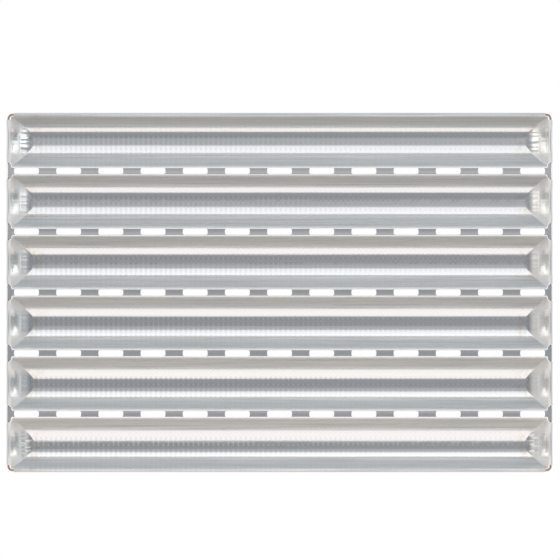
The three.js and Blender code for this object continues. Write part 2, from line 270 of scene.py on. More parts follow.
class PanForm:
    """What the pieces share, worked out from the sizes and the frame."""

    def __init__(self, sizes):
        self.sizes = sizes
        half = sizes.sheet / 2
        self.roll_radius = sizes.wire / 2 + sizes.fit + sizes.sheet
        self.roll_middle = self.roll_radius - half
        self.top = PAN_HIGH.z
        self.wire_x = PAN_HIGH.x - self.roll_radius
        self.wire_y = PAN_HIGH.y - self.roll_radius
        self.wire_z = self.top - self.roll_radius
        self.notch_x = self.wire_x - sizes.wire_corner - sizes.bare_wire
        self.notch_z = self.wire_z - self.roll_radius - sizes.fit
        self.hook_x = self.wire_x - self.roll_radius
        self.rim_reach = PAN_HIGH.y - (TROUGHS - 1) / 2 * TROUGH_PITCH
        eased = (sizes.ridge_soft - sizes.ridge_bend) * math.tan(sizes.wall_angle / 2)
        self.crown_reach = sizes.ridge_flat / 2 - eased
        self.fold_length = (sizes.ridge_soft - half) * sizes.wall_angle
        bend_length = (sizes.ridge_bend - half) * sizes.wall_angle
        self.hook_reach = sizes.ridge_flat / 2 + bend_length + sizes.ridge_side
        self.slope, self.slope_top = self.end_slope()

    @staticmethod
    def rise(start, top, angle):
        """A round bend out of level and a straight run that together lead from a start to a top."""
        run, up = top[0] - start[0], top[1] - start[1]
        sine, cosine = math.sin(angle), math.cos(angle)
        bend = (run * sine - up * cosine) / (1 - cosine)
        return [(bend * angle, angle), ((run - bend * sine) / cosine, 0)]

    @staticmethod
    def touch(centre, radius, angle):
        """Where a slope at an angle meets a round that it passes over."""
        return centre[0] - radius * math.sin(angle), centre[1] + radius * math.cos(angle)

    def roll(self, angle):
        """The run that takes a slope at an angle over the wire and down its outer side."""
        turn = math.pi / 2 + angle + self.sizes.roll_end
        return self.roll_middle * turn, -turn

    def wall(self, edge):
        """Half of a trough's section, from the middle of its floor, and the length of floor and wall."""
        s = self.sizes
        half = s.sheet / 2
        if edge == "rim":
            angle = s.rim_wall_angle
            top = self.touch((self.rim_reach - self.roll_radius, self.wire_z), self.roll_middle, angle)
            beyond = [self.roll(angle)]
        else:
            angle = s.wall_angle
            centre = ((TROUGH_PITCH - s.ridge_flat) / 2, self.top - s.ridge_bend)
            top = self.touch(centre, s.ridge_bend - s.sheet - s.fit - half, angle)
            beyond = []
        runs = [(s.floor_width / 2, 0), *self.rise((s.floor_width / 2, half), top, angle)]
        return BentLine((0, half), runs + beyond), sum(length for length, _ in runs)

    def end_slope(self):
        """An end plate's section from its foot over the wire, and the length up to the roll."""
        s = self.sizes
        top = self.touch((self.wire_x, self.wire_z), self.roll_middle, s.end_angle)
        foot = (top[0] - s.end_run, -s.end_foot)
        runs = self.rise(foot, top, s.end_angle)
        return BentLine(foot, [*runs, self.roll(s.end_angle)]), sum(length for length, _ in runs)


class Section(NamedTuple):
    """A wall's or an end's section at close steps, up to its top."""
    along: np.ndarray
    across: np.ndarray
    up: np.ndarray
    steep: np.ndarray

    @classmethod
    def of(cls, line, top):
        """The section that a bent line has up to a distance along it."""
        along = np.linspace(0, top, SECTION_POINTS)
        across, up, heading = line.at(along)
        return cls(along, across, up, np.tan(heading))


class Hollow:
    """One trough's inside: two walls, two sloping ends and the rounded creases where they meet."""

    def __init__(self, form, front_edge, back_edge):
        self.form = form
        self.edges = (front_edge, back_edge)
        self.sides = (form.wall(front_edge), form.wall(back_edge))
        (self.front, self.front_top), (self.back, self.back_top) = self.sides
        self.walls = [Section.of(*side) for side in self.sides]
        self.end = Section.of(form.slope, form.slope_top)

    def section(self, along):
        """Y from the trough's middle, height and heading at a signed distance along its section."""
        front = self.front.at(np.abs(along))
        back = self.back.at(np.abs(along))
        y, z, heading = (np.where(along < 0, f, b) for f, b in zip(front, back))
        return y * np.sign(along), z, heading * np.sign(along)

    def blend(self, x, z, wall_slope):
        """Height and slopes in X and Y where wall and end run together in a rounded crease."""
        below, least_slope = -1.0, 0.05
        end_z = np.interp(np.abs(x), self.end.across, self.end.up, left=below)
        end_slope = np.interp(np.abs(x), self.end.across, self.end.steep) * np.sign(x)
        soft = self.form.sizes.crease * np.maximum(np.hypot(end_slope, wall_slope), least_slope)
        apart = np.clip((z - end_z) / soft, -1, 1)
        wall_share = (1 + apart) / 2
        height = np.maximum(z, end_z) + soft * (1 - np.abs(apart)) ** 2 / 4
        return height, end_slope * (1 - wall_share), wall_slope * wall_share

    def wall_height(self, y):
        """Height and slope of the walls at a place across the trough."""
        heights = [np.interp(np.abs(y), wall.across, wall.up) for wall in self.walls]
        slopes = [np.interp(np.abs(y), wall.across, wall.steep) * np.sign(y) for wall in self.walls]
        return np.where(y < 0, *heights), np.where(y < 0, *slopes)

    def crease(self, side):
        """Distances along the wall's and the end's section where both have one height, from the floor up."""
        wall = self.walls[side]
        crowding = 1.6
        crowded = np.linspace(0, 1, CREASE_POINTS) ** crowding
        heights = wall.up[0] + (self.form.notch_z - wall.up[0]) * crowded
        on_wall = np.interp(heights, wall.up[1:], wall.along[1:])
        on_wall[0] = self.form.sizes.floor_width / 2
        return on_wall, np.interp(heights, self.end.up, self.end.along)


def ring(middle, radius, sides=8):
    """A round hole's outline."""
    turns = (np.arange(sides) + 0.5) / sides * 2 * np.pi
    return columns(middle[0] + radius * np.cos(turns), middle[1] + radius * np.sin(turns))


def staggered(reach_u, reach_v, pitch):
    """Middles of holes in rows, each row set half a pitch along from the next, as sheet is punched."""
    row_pitch = pitch / 2
    rows, places = math.ceil(reach_v / row_pitch), math.ceil(reach_u / pitch)
    return [((place + 0.25 + 0.5 * (row % 2)) * pitch, (row + 0.5) * row_pitch)
            for row in range(-rows, rows) for place in range(-places, places)]


def within(point, loop):
    """True where a convex outline, given anticlockwise, holds a point."""
    along = np.roll(loop, -1, axis=0) - loop
    beside = point - loop
    return bool((along[:, 0] * beside[:, 1] - along[:, 1] * beside[:, 0] > 0).all())


def triangulate(outline, holes, lines):
    """Triangles that fill a flat outline, with holes left open and lines kept as edges."""
    points, edges = [], []
    for loop in [outline, *holes]:
        first = len(points)
        points.extend(loop)
        count = len(loop)
        edges.extend((first + i, first + (i + 1) % count) for i in range(count))
    for line in lines:
        first = len(points)
        points.extend(line)
        edges.extend((first + i, first + i + 1) for i in range(len(line) - 1))
    flat = [Vector((float(x), float(y))) for x, y in points]
    inside, weld = 1, 1e-7
    made = delaunay_2d_cdt(flat, edges, [], inside, weld)
    places = np.array([tuple(p) for p in made[0]])
    faces = np.array(made[2], int)
    middles = places[faces].mean(axis=1)
    order = np.argsort(middles[:, 0])
    sorted_x = middles[order, 0]
    keep = np.ones(len(faces), bool)
    for hole in holes:
        low, high = hole.min(axis=0), hole.max(axis=0)
        for face in order[np.searchsorted(sorted_x, low[0]):np.searchsorted(sorted_x, high[0])]:
            if low[1] < middles[face, 1] < high[1]:
                keep[face] = not within(middles[face], hole)
    faces = faces[keep]
    used = np.unique(faces)
    renumber = np.full(len(places), -1)
    renumber[used] = np.arange(len(used))
    return places[used], renumber[faces]


def border_edges(faces):
    """Edges that only one triangle has, in that triangle's direction."""
    edges = np.concatenate([faces[:, [0, 1]], faces[:, [1, 2]], faces[:, [2, 0]]])
    ordered = np.sort(edges, axis=1)
    keys = ordered[:, 0] * (faces.max() + 1) + ordered[:, 1]
    where, counts = np.unique(keys, return_index=True, return_counts=True)[1:]
    return edges[where[counts == 1]]


def sheet_piece(name, faces, middles, normals, thickness, material, shading):
    """A sheet of even thickness from the triangles of its middle, with smooth faces and square edges."""
    count = len(middles)
    points = np.concatenate([middles + normals * thickness / 2, middles - normals * thickness / 2])
    a, b = border_edges(faces).T
    walls = np.concatenate([columns(b, a, a + count), columns(b, a + count, b + count)])
    triangles = np.concatenate([faces, faces[:, ::-1] + count, walls])
    corner = points[walls]
    square = np.cross(corner[:, 1] - corner[:, 0], corner[:, 2] - corner[:, 0])
    square /= np.maximum(np.linalg.norm(square, axis=1, keepdims=True), 1e-12)
    loops = np.concatenate([
        shading[faces].reshape(-1, 3), -shading[faces[:, ::-1]].reshape(-1, 3),
        np.repeat(square, 3, axis=0)])
    return mesh_piece(name, points, triangles, loops, material)


def mesh_piece(name, points, triangles, loops, material):
    """An object made of triangles, with a normal for each of their corners."""
    mesh = bpy.data.meshes.new(name)
    mesh.vertices.add(len(points))
    mesh.vertices.foreach_set("co", points.astype(np.float32).ravel())
    mesh.loops.add(3 * len(triangles))
    mesh.loops.foreach_set("vertex_index", triangles.astype(np.int32).ravel())
    mesh.polygons.add(len(triangles))
    mesh.polygons.foreach_set("loop_start", np.arange(0, 3 * len(triangles), 3, dtype=np.int32))
    mesh.update(calc_edges=True)
    mesh.polygons.foreach_set("use_smooth", np.ones(len(triangles), bool))
    mesh.normals_split_custom_set(loops.tolist())
    mesh.materials.append(material)
    made = bpy.data.objects.new(name, mesh)
    bpy.context.scene.collection.objects.link(made)
    return made


def dished(places, normals, u_ways, v_ways, holes, dish):
    """Normals drawn in towards the middle of each hole, as a punch leaves them."""
    digits = 7
    index = {tuple(np.round(place, digits)): i for i, place in enumerate(places)}
    drawn = normals.copy()
    for hole in holes:
        middle = hole.mean(axis=0)
        for point in hole:
            i = index.get(tuple(np.round(point, digits)))
            if i is not None:
                inward = (middle - point) / np.linalg.norm(middle - point)
                drawn[i] += math.tan(dish) * (inward[0] * u_ways[i] + inward[1] * v_ways[i])
    return unit(drawn)


def claim(made, node):
    """The piece stands for a CAD node and rides with the pan."""
    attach(made, "root")
    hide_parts(node)


class Row(NamedTuple):
    """One trough's number, the Y of its middle, its inside and a sheet of it laid flat."""
    number: int
    middle: float
    hollow: Hollow
    holes: list
    places: np.ndarray
    faces: np.ndarray

    @property
    def by_rim(self):
        return "rim" in self.hollow.edges


def rows_of_sheet(form, plan):
    """A row for each trough, from the back, with its sheet laid flat by a plan."""
    flat = {}
    for number in range(1, TROUGHS + 1):
        edges = ("rim" if number == TROUGHS else "ridge", "rim" if number == 1 else "ridge")
        if edges not in flat:
            hollow = Hollow(form, *edges)
            outline, holes, lines = plan(hollow)
            flat[edges] = (hollow, holes, *triangulate(outline, holes, lines))
        yield Row(number, ((TROUGHS + 1) / 2 - number) * TROUGH_PITCH, *flat[edges])


def hollow_normals(inside, slope_x, slope_y, bent):
    """Normals from the slopes of a trough's inside, or those of the bent edge above it."""
    return np.where(inside[:, None], unit(columns(-slope_x, -slope_y, 1.0)), bent)


def trough_plan(hollow):
    """A trough's sheet laid flat: outline, perforations and the lines that its bends follow."""
    form, s = hollow.form, hollow.form.sizes
    borders, limits, lines = [], [], []
    for side, sign in ((0, -1), (1, 1)):
        line, top = hollow.sides[side]
        on_wall, on_end = hollow.crease(side)
        crease_x = form.slope.at(on_end)[0]
        bends = steps_between(top, line.length, BEND_STEP)
        crease = columns(crease_x, sign * on_wall)
        notch = columns(form.notch_x, sign * np.array([on_wall[-1], *bends]))
        borders.append(np.concatenate([crease, notch]))
        limits.append((on_wall, crease_x, top))
        beside = crease[1:] - (2 * s.crease, 0)
        lines += [beside, beside * (-1, 1)]
        xs = steps_between(-form.notch_x, form.notch_x, TROUGH_STEP)
        lines += [columns(xs, sign * v) for v in bends[:-1]]
    right = np.concatenate([borders[0][::-1], borders[1]])
    outline = np.concatenate([right, right[::-1] * (-1, 1)])

    holes = []
    for x, v in staggered(form.wire_x, hollow.front.length, s.hole_pitch):
        on_wall, crease_x, top = limits[int(v > 0)]
        edge_x = np.interp(abs(v), on_wall, crease_x)
        if abs(v) < top - s.hole_margin and abs(x) < edge_x - s.hole_margin:
            holes.append(ring((x, v), s.hole / 2))
    return outline, holes, lines


class PAN_OT_troughs(bpy.types.Operator):
    """Add the troughs: perforated sheet bent to a round bottom, open at the top"""
    bl_idname = "pan.troughs"
    bl_label = "Troughs"

    def execute(self, context):
        steel = aluminised_sheet(context.scene.pan_finish)
        for row in rows_of_sheet(PanForm(context.scene.pan_sizes), trough_plan):
            made = self.sheet(f"trough_sheet_{row.number}", row, steel)
            claim(made, f"trough_{row.number}")
        return {"FINISHED"}

    @staticmethod
    def sheet(name, row, steel):
        hollow, sizes = row.hollow, row.hollow.form.sizes
        x, along = row.places.T
        y, z, heading = hollow.section(along)
        height, slope_x, slope_y = hollow.blend(x, z, np.tan(heading))
        tops = np.where(along < 0, hollow.front_top, hollow.back_top)
        inside = np.abs(along) <= tops + ROUNDING
        normals = hollow_normals(inside, slope_x, slope_y, columns(0.0, -np.sin(heading), np.cos(heading)))
        middles = columns(x, y + row.middle, np.where(inside, height, z))
        u_ways = np.tile((1.0, 0.0, 0.0), (len(x), 1))
        v_ways = np.cross(normals, u_ways)
        shading = dished(row.places, normals, u_ways, v_ways, row.holes, sizes.hole_dish)
        return sheet_piece(name, row.faces, middles, normals, sizes.sheet, steel, shading)


def plate_plan(hollow):
    """An end plate laid flat: distance up its slope against Y from the trough's middle."""
    form, s = hollow.form, hollow.form.sizes
    bends = steps_between(form.slope_top, form.slope.length, BEND_STEP)
    flat_foot = 3
    borders, limits, rolls, lines = [], [], [], []
    for side, sign in ((0, -1), (1, 1)):
        on_wall, on_end = hollow.crease(side)
        crease_y = hollow.sides[side][0].at(on_wall)[0]
        if hollow.edges[side] == "rim":
            roll = form.rim_reach - form.roll_radius - s.wire_corner - s.bare_wire
        else:
            roll = TROUGH_PITCH / 2 - form.hook_reach - s.bare_wire
        crease = columns(on_end, sign * crease_y)
        notch = columns(np.array([on_end[-1], *bends]), sign * roll)
        lines.append(crease[flat_foot:] - (0, sign * 2 * s.crease))
        borders.append(np.concatenate([crease, notch]))
        limits.append((on_end, crease_y))
        rolls.append(roll)
    outline = np.concatenate([borders[0], borders[1][::-1]])
    ys = steps_between(-rolls[0], rolls[1], PLATE_STEP)
    lines += [columns(u, ys) for u in bends[:-1]]

    holes, middles = [], []
    for y, u in staggered(TROUGH_PITCH / 2, form.slope_top, s.hole_pitch):
        edge_y = np.interp(u, *limits[int(y > 0)], left=0)
        if u < form.slope_top - s.hole_margin and abs(y) < edge_y - s.hole_margin:
            holes.append(ring((u, y), s.hole / 2))
            middles.append((u, y))
    lines += pleat_points(form, limits, np.array(middles))
    return outline, holes, lines


def pleat_points(form, limits, middles):
    """Points that give an end plate's pleats their form, clear of its holes and creases."""
    s = form.sizes
    lowest, highest, reach = 0.3 * form.slope_top, form.slope_top - 1 * MM, 24 * MM
    step_up, step_across = 2.2 * MM, 0.9 * MM
    from_hole, from_crease = 1.4 * s.hole, 3 * s.crease
    points = []
    for u in steps_between(lowest, highest, step_up):
        for y in steps_between(-reach, reach, step_across):
            clear = (np.abs(middles - (u, y)).sum(axis=1) > from_hole).all()
            if clear and abs(y) < np.interp(u, *limits[int(y > 0)]) - from_crease:
                points.append(np.array([(u, y)]))
    return points


def pleats(rise, y, depth, pitch, phases):
    """Shallow pleats that wander up an end plate, fading at its foot, roll and creases, and their slope."""
    starts, full, fades, reach = 0.1, 0.35, 0.85, 17 * MM
    wander, slowness, lean, finer_share = 1.3, 0.37, 3, 0.3
    window = smooth_step((rise - starts) / (full - starts)) * smooth_step((1 - rise) / (1 - fades))
    deep = depth * window * np.exp(-(y / reach) ** 4)
    wave = 2 * np.pi / pitch
    turn = wave * y + phases[0] + wander * np.sin(wave * y * slowness + phases[1] + lean * rise)
    finer = 2 * turn + phases[2]
    height = np.sin(turn) + finer_share * np.sin(finer)
    slope = np.cos(turn) + 2 * finer_share * np.cos(finer)
    return deep * height, deep * wave * slope


class PAN_OT_end_plates(bpy.types.Operator):
    """Add the end plates: sloping sheet that closes a trough and rolls over the wire"""
    bl_idname = "pan.end_plates"
    bl_label = "End plates"

    def execute(self, context):
        steel = aluminised_end(context.scene.pan_finish)
        seed = 7
        draws = np.random.default_rng(seed)
        for row in rows_of_sheet(PanForm(context.scene.pan_sizes), plate_plan):
            for side, word in ((-1, "left"), (1, "right")):
                phases = draws.uniform(0, 2 * np.pi, 3)
                made = self.sheet(f"end_sheet_{word}_{row.number}", row, side, steel, phases)
                claim(made, f"end_plate_{word}_{row.number}")
        return {"FINISHED"}

    @staticmethod
    def sheet(name, row, side, steel, phases):
        form, sizes = row.hollow.form, row.hollow.form.sizes
        along, y = row.places.T
        x, z, heading = form.slope.at(along)
        height, slope_x, slope_y = row.hollow.blend(x, *row.hollow.wall_height(y))
        inside = along <= form.slope_top + ROUNDING
        depth = sizes.rim_pleat if row.by_rim else sizes.ridge_pleat
        pleat, pleat_slope = pleats(along / form.slope_top, y, depth, sizes.hole_pitch, phases)
        upright = 1 / np.cos(np.where(inside, heading, 0))
        bent = columns(-np.sin(heading), 0.0, np.cos(heading))
        normals = hollow_normals(inside, slope_x, slope_y + upright * pleat_slope, bent) * (side, 1, 1)
        middles = columns(side * x, y + row.middle, np.where(inside, height + upright * pleat, z))
        v_ways = np.tile((0.0, 1.0, 0.0), (len(x), 1))
        u_ways = np.cross(v_ways, normals) * side
        shading = dished(row.places, normals, u_ways, v_ways, row.holes, sizes.hole_dish)
        turned = row.faces if side > 0 else row.faces[:, ::-1]
        return sheet_piece(name, turned, middles, normals, sizes.sheet, steel, shading)


def slot_outline(s):
    """An air slot's outline, anticlockwise, about its own middle."""
    out = np.array([s.slot_length / 2, s.slot_width / 2]) - s.slot_corner
    corners = []
    for quarter, signs in enumerate(((1, 1), (-1, 1), (-1, -1), (1, -1))):
        turns = (quarter + np.linspace(0, 1, FOLD_POINTS)) * np.pi / 2
        corners.append(out * signs + s.slot_corner * columns(np.cos(turns), np.sin(turns)))
    return np.concatenate(corners)


def strip_plan(form):
    """A ridge strip laid flat: distance along it against distance across it, with its slots."""
    s = form.sizes
    end = form.wire_x + form.roll(0)[0]
    tail = steps_between(form.notch_x, end, BEND_STEP)[1:]
    xs = np.concatenate([-tail[::-1], steps_between(-form.notch_x, form.notch_x, STRIP_STEP), tail])
    fold = np.linspace(form.crown_reach, form.crown_reach + form.fold_length, FOLD_POINTS)
    outer = np.array([*fold, (fold[-1] + form.hook_reach) / 2, form.hook_reach])
    inner = np.linspace(-1, 1, CROWN_POINTS)[1:-1] * form.crown_reach
    vs = np.concatenate([-outer[::-1], inner, outer])
    outline = np.concatenate([
        columns(xs, vs[0]), columns(end, vs[1:-1]), columns(xs[::-1], vs[-1]), columns(-end, vs[-2:0:-1])])

    middles = (np.arange(s.slots) - (s.slots - 1) / 2) * s.slot_pitch
    slots = [slot_outline(s) + (middle, 0) for middle in middles]
    lines = [columns(xs, sign * v) for v in outer[:-1] for sign in (-1, 1)]
    for x in xs[1:-1]:
        if np.abs(middles - x).min() > s.slot_length / 2 + BEND_STEP:
            lines += [np.array([(x, v)]) for v in inner]
    return outline, slots, lines


class PAN_OT_ridge_strips(bpy.types.Operator):
    """Add the ridge strips: slotted saddles that cap two troughs and hook over the wire"""
    bl_idname = "pan.ridge_strips"
    bl_label = "Ridge strips"

    def execute(self, context):
        sizes = context.scene.pan_sizes
        form = PanForm(sizes)
        steel = aluminised_strip(context.scene.pan_finish)
        places, faces = triangulate(*strip_plan(form))
        middles, normals = self.shape(form, places)
        for number in range(1, TROUGHS):
            placed = middles + (0, (TROUGHS / 2 - number) * TROUGH_PITCH, 0)
            made = sheet_piece(f"slotted_strip_{number}", faces, placed, normals, sizes.sheet, steel, normals)
            claim(made, f"ridge_strip_{number}")
        return {"FINISHED"}

    @staticmethod
    def shape(form, places):
        """The bent strip's middle and its normals: folded down along the ridge, flat over the wire."""
        sizes = form.sizes
        along, across = places.T
        line = BentLine((0, form.top - sizes.sheet / 2), [(form.wire_x, 0), form.roll(0)])
        x, z, heading = line.at(np.abs(along))
        side = np.where(along < 0, -1.0, 1.0)
        folded = 1 - smooth_step((np.abs(along) - form.notch_x) / (form.hook_x - form.notch_x))
        crown = sizes.ridge_crown * folded
        fold = sizes.wall_angle * folded
        out = np.abs(across)
        on_crown = np.minimum(out, form.crown_reach)
        on_fold = np.clip(out - form.crown_reach, 0, form.fold_length)
        on_lip = np.maximum(out - form.crown_reach - form.fold_length, 0)
        crown_turn = crown * on_crown / form.crown_reach
        fold_turn = (fold - crown) * on_fold / form.fold_length
        steps = [chord(on_crown, 0 * crown, crown_turn), chord(on_fold, crown_turn, fold_turn),
                 chord(on_lip, crown_turn + fold_turn, 0 * fold)]
        y = sum(step[0] for step in steps) * np.sign(across)
        drop = sum(step[1] for step in steps) - chord(form.crown_reach, 0 * crown, crown)[1]
        tilt = (crown_turn + fold_turn) * np.sign(across)
        up = columns(-np.sin(heading) * side, 0.0, np.cos(heading))
        middles = columns(x * side, y, z) - up * drop[:, None]
        normals = up * np.cos(tilt)[:, None]
        normals[:, 1] += np.sin(tilt)
        return middles, normals


class PAN_OT_rim_wire(bpy.types.Operator):
    """Add the rim wire: one closed ring of round wire with bent corners"""
    bl_idname = "pan.rim_wire"
    bl_label = "Rim wire"

    def execute(self, context):
        sizes = context.scene.pan_sizes
        form = PanForm(sizes)
        corner_points, sides = 13, 20
        reach = np.array([form.wire_x, form.wire_y]) - sizes.wire_corner
        path, ways = [], []
        for quarter in range(4):
            middle = (quarter + 0.5) * math.pi / 2
            centre = reach * np.sign([math.cos(middle), math.sin(middle)])
            turns = quarter * math.pi / 2 + np.linspace(0, math.pi / 2, corner_points)
            ways.append(columns(np.cos(turns), np.sin(turns)))
            path.append(centre + sizes.wire_corner * ways[-1])
        path, ways = np.concatenate(path), np.concatenate(ways)
        rounds = np.arange(sides) / sides * 2 * np.pi
        outward = columns(*ways.T, 0.0)
        upward = np.array([0, 0, 1.0])
        spokes = outward[:, None] * np.cos(rounds)[:, None] + upward * np.sin(rounds)[:, None]
        centres = columns(*path.T, form.wire_z)
        points = (centres[:, None] + spokes * sizes.wire / 2).reshape(-1, 3)
        i, j = np.indices((len(path), sides))
        next_i, next_j = (i + 1) % len(path), (j + 1) % sides
        a, b = (i * sides + j).ravel(), (next_i * sides + j).ravel()
        c, d = (next_i * sides + next_j).ravel(), (i * sides + next_j).ravel()
        triangles = np.concatenate([columns(a, b, c), columns(a, c, d)])
        loops = spokes.reshape(-1, 3)[triangles].reshape(-1, 3)
        steel = browned_wire(context.scene.pan_finish)
        made = mesh_piece("rim_wire_ring", points, triangles, loops, steel)
        claim(made, "rim_wire")
        return {"FINISHED"}


# Heights between which a trough's floor turns into its wall, the wall's cast fades out and the rolled edge
# begins, and noise between which a patch or a streak sets in.
WALL_FOOT = (3.8 * MM, 5.8 * MM)
WALL_HEAD = (22.5 * MM, 24.5 * MM)
ROLL_FOOT = (23.5 * MM, 25 * MM)
PATCHES = (0.45, 0.75)

SMOOTH = {"interpolation_type": "SMOOTHSTEP"}
COLOUR = {"data_type": "RGBA"}


def add_node(tree, kind, inputs=None, **settings):
    """A node with its settings, and its sockets set to values or linked to other nodes or their sockets."""
    node = tree.nodes.new("ShaderNode" + kind)
    for name, value in settings.items():
        setattr(node, name, value)
    for name, value in (inputs or {}).items():
        if isinstance(value, bpy.types.Node):
            value = next(socket for socket in value.outputs if socket.enabled)
        if isinstance(value, bpy.types.NodeSocket):
            tree.links.new(value, node.inputs[name])
        else:
            node.inputs[name].default_value = value
    return node


def new_material(name):
    """A material with an empty node tree, and what adds a node to it."""
    material = bpy.data.materials.new(name)
    material.use_nodes = True
    material.node_tree.nodes.clear()
    return material, partial(add_node, material.node_tree)


def opaque(colour):
    """A colour with its alpha."""
    return (*colour, 1.0)


def away(node, place, start, fade):
    """Nought to one as the larger of |X| and |Y|, each counted from its own start, grows over a fade."""
    parts = node("SeparateXYZ", {"Vector": place})
    over = []
    for axis, first in zip("XY", start):
        size = node("Math", {0: parts.outputs[axis]}, operation="ABSOLUTE")
        over.append(node("Math", {0: size, 1: first}, operation="SUBTRACT"))
    most = node("Math", {0: over[0], 1: over[1]}, operation="MAXIMUM")
    return node("MapRange", {"Value": most, "From Max": fade}, **SMOOTH)


def drawn_lines(node, place, spacing):
    """Fine lines along X, as the rolls and the loaves leave them."""
    drawn_out = 0.015
    drawn = node("Mapping", {"Vector": place, "Scale": (drawn_out, 1.0, 1.0)})
    return node("TexNoise", {"Vector": drawn, "Scale": 1 / spacing, "Detail": 2.0})


def oven_tint_and_rim_shade(node, place, finish, share):
    """Sheet colour, warmed in patches near the pan's ends, with painted shade greying the rim's outer side.
    """
    patch_size, end_zone, end_fade = 9 * MM, 50 * MM, 30 * MM
    rim_shade_zone, rim_shade_fade = 1.9 * MM, 1.2 * MM
    cloud = node("TexNoise", {
        "Vector": place, "Scale": 1 / patch_size, "Detail": 4.0, "Roughness": 0.6})
    patch = node("MapRange", {
        "Value": cloud, "From Min": PATCHES[0], "From Max": PATCHES[1], "To Max": share})
    never = 1.0
    ends = away(node, place, (PAN_HIGH.x - end_zone, never), end_fade)
    baked = node("Math", {0: patch, 1: ends}, operation="MULTIPLY")
    tinted = node("Mix", {
        "Factor": baked, "A": opaque(finish.sheet_colour), "B": opaque(finish.tint_colour)}, **COLOUR)
    # Painted shade: the outermost band of the rolled edge is greyed.
    rim = away(node, place, (PAN_HIGH.x - rim_shade_zone, PAN_HIGH.y - rim_shade_zone), rim_shade_fade)
    return node("Mix", {"Factor": rim, "A": tinted, "B": opaque(finish.rim_shade_colour)}, **COLOUR)


def steel_surface(node, colour, roughness, metallic, grain, depth, strength=0.25):
    """A metal whose grain is raised by a depth, dulled where its metallic value is under one."""
    bump = node("Bump", {"Height": grain, "Strength": strength, "Distance": depth})
    shader = node("BsdfPrincipled", {
        "Base Color": colour, "Metallic": metallic, "Roughness": roughness, "Normal": bump})
    node("OutputMaterial", {"Surface": shader})


# Bright aluminised steel: rolled sheet with a near-mirror skin of aluminium and silicon. The eye sees long
# crisp reflections on the floors, and satin walls that loaves and cloths have rubbed lengthwise. The walls
# are
# painted by which way they face: a warm painted shade on those that face the front and a cool, bluish painted
# reflection on those that face the back. The fine holes grey the sheet in columns, most at the left: painted
# shade for the shaded floor seen through them. They are too fine to show one by one, so each column is drawn
# as a soft band, coarser than its holes.
def aluminised_sheet(finish):
    material, node = new_material("aluminised_steel_sheet")
    level, upright = 0.52, 0.72
    plain, holed = -0.28, -0.2
    streak_pitch, streak_depth = 1.8 * MM, 0.1 * MM
    texture = node("TexCoord")
    place = texture.outputs["Object"]
    parts = node("SeparateXYZ", {"Vector": place})
    length, height = parts.outputs["X"], parts.outputs["Z"]
    facing = node("SeparateXYZ", {"Vector": texture.outputs["Normal"]}).outputs["Y"]
    above_floor = node("MapRange", {
        "Value": height, "From Min": WALL_FOOT[0], "From Max": WALL_FOOT[1]}, **SMOOTH)
    on_wall = node("MapRange", {
        "Value": height, "From Min": WALL_HEAD[0], "From Max": WALL_HEAD[1],
        "To Min": above_floor, "To Max": 0.0}, **SMOOTH)
    # Painted shade on the walls that face the front, and a painted cool reflection on those that face the
    # back.
    warm_shade_share = node("MapRange", {
        "Value": facing, "From Min": -level, "From Max": -upright, "To Max": on_wall}, **SMOOTH)
    cool_reflection_share = node("MapRange", {
        "Value": facing, "From Min": level, "From Max": upright, "To Max": on_wall}, **SMOOTH)

    # Painted shade along the columns of holes, stronger at the left than at the right, and left off the walls
    # that face the front.
    per_metre = 2 * math.pi / finish.column_pitch
    turn = node("Math", {0: length, 1: per_metre}, operation="MULTIPLY")
    wave = node("Math", {0: turn}, operation="SINE")
    column_shade_strength = node("MapRange", {
        "Value": length, "From Min": PAN_LOW.x / 2, "From Max": PAN_HIGH.x / 2,
        "To Min": finish.column_shade_share, "To Max": finish.column_shade_rest})
    punched = node("MapRange", {
        "Value": facing, "From Min": plain, "From Max": holed, "To Max": column_shade_strength}, **SMOOTH)
    column = node("MapRange", {"Value": wave, "From Min": -1.0, "To Max": punched})

    lines = drawn_lines(node, place, streak_pitch)
    streak = node("MapRange", {
        "Value": lines, "From Min": PATCHES[0], "From Max": PATCHES[1], "To Max": above_floor})
    colour = oven_tint_and_rim_shade(node, place, finish, 1.0)
    for share, cast in ((warm_shade_share, finish.warm_wall_shade_colour), (cool_reflection_share, finish.cool_wall_reflection_colour),
                        (column, finish.column_shade_colour), (streak, finish.streak_colour)):
        colour = node("Mix", {"Factor": share, "A": colour, "B": opaque(cast)}, **COLOUR)
    rubbed = node("MapRange", {
        "Value": above_floor, "To Min": finish.sheet_roughness, "To Max": finish.wall_roughness})
    satin = node("MapRange", {
        "Value": above_floor, "To Min": 1.0, "To Max": finish.wall_metal})
    metal = node("MapRange", {
        "Value": height, "From Min": ROLL_FOOT[0], "From Max": ROLL_FOOT[1],
        "To Min": satin, "To Max": finish.roll_metal}, **SMOOTH)
    steel_surface(node, colour, rubbed, metal, lines, streak_depth)
    return material


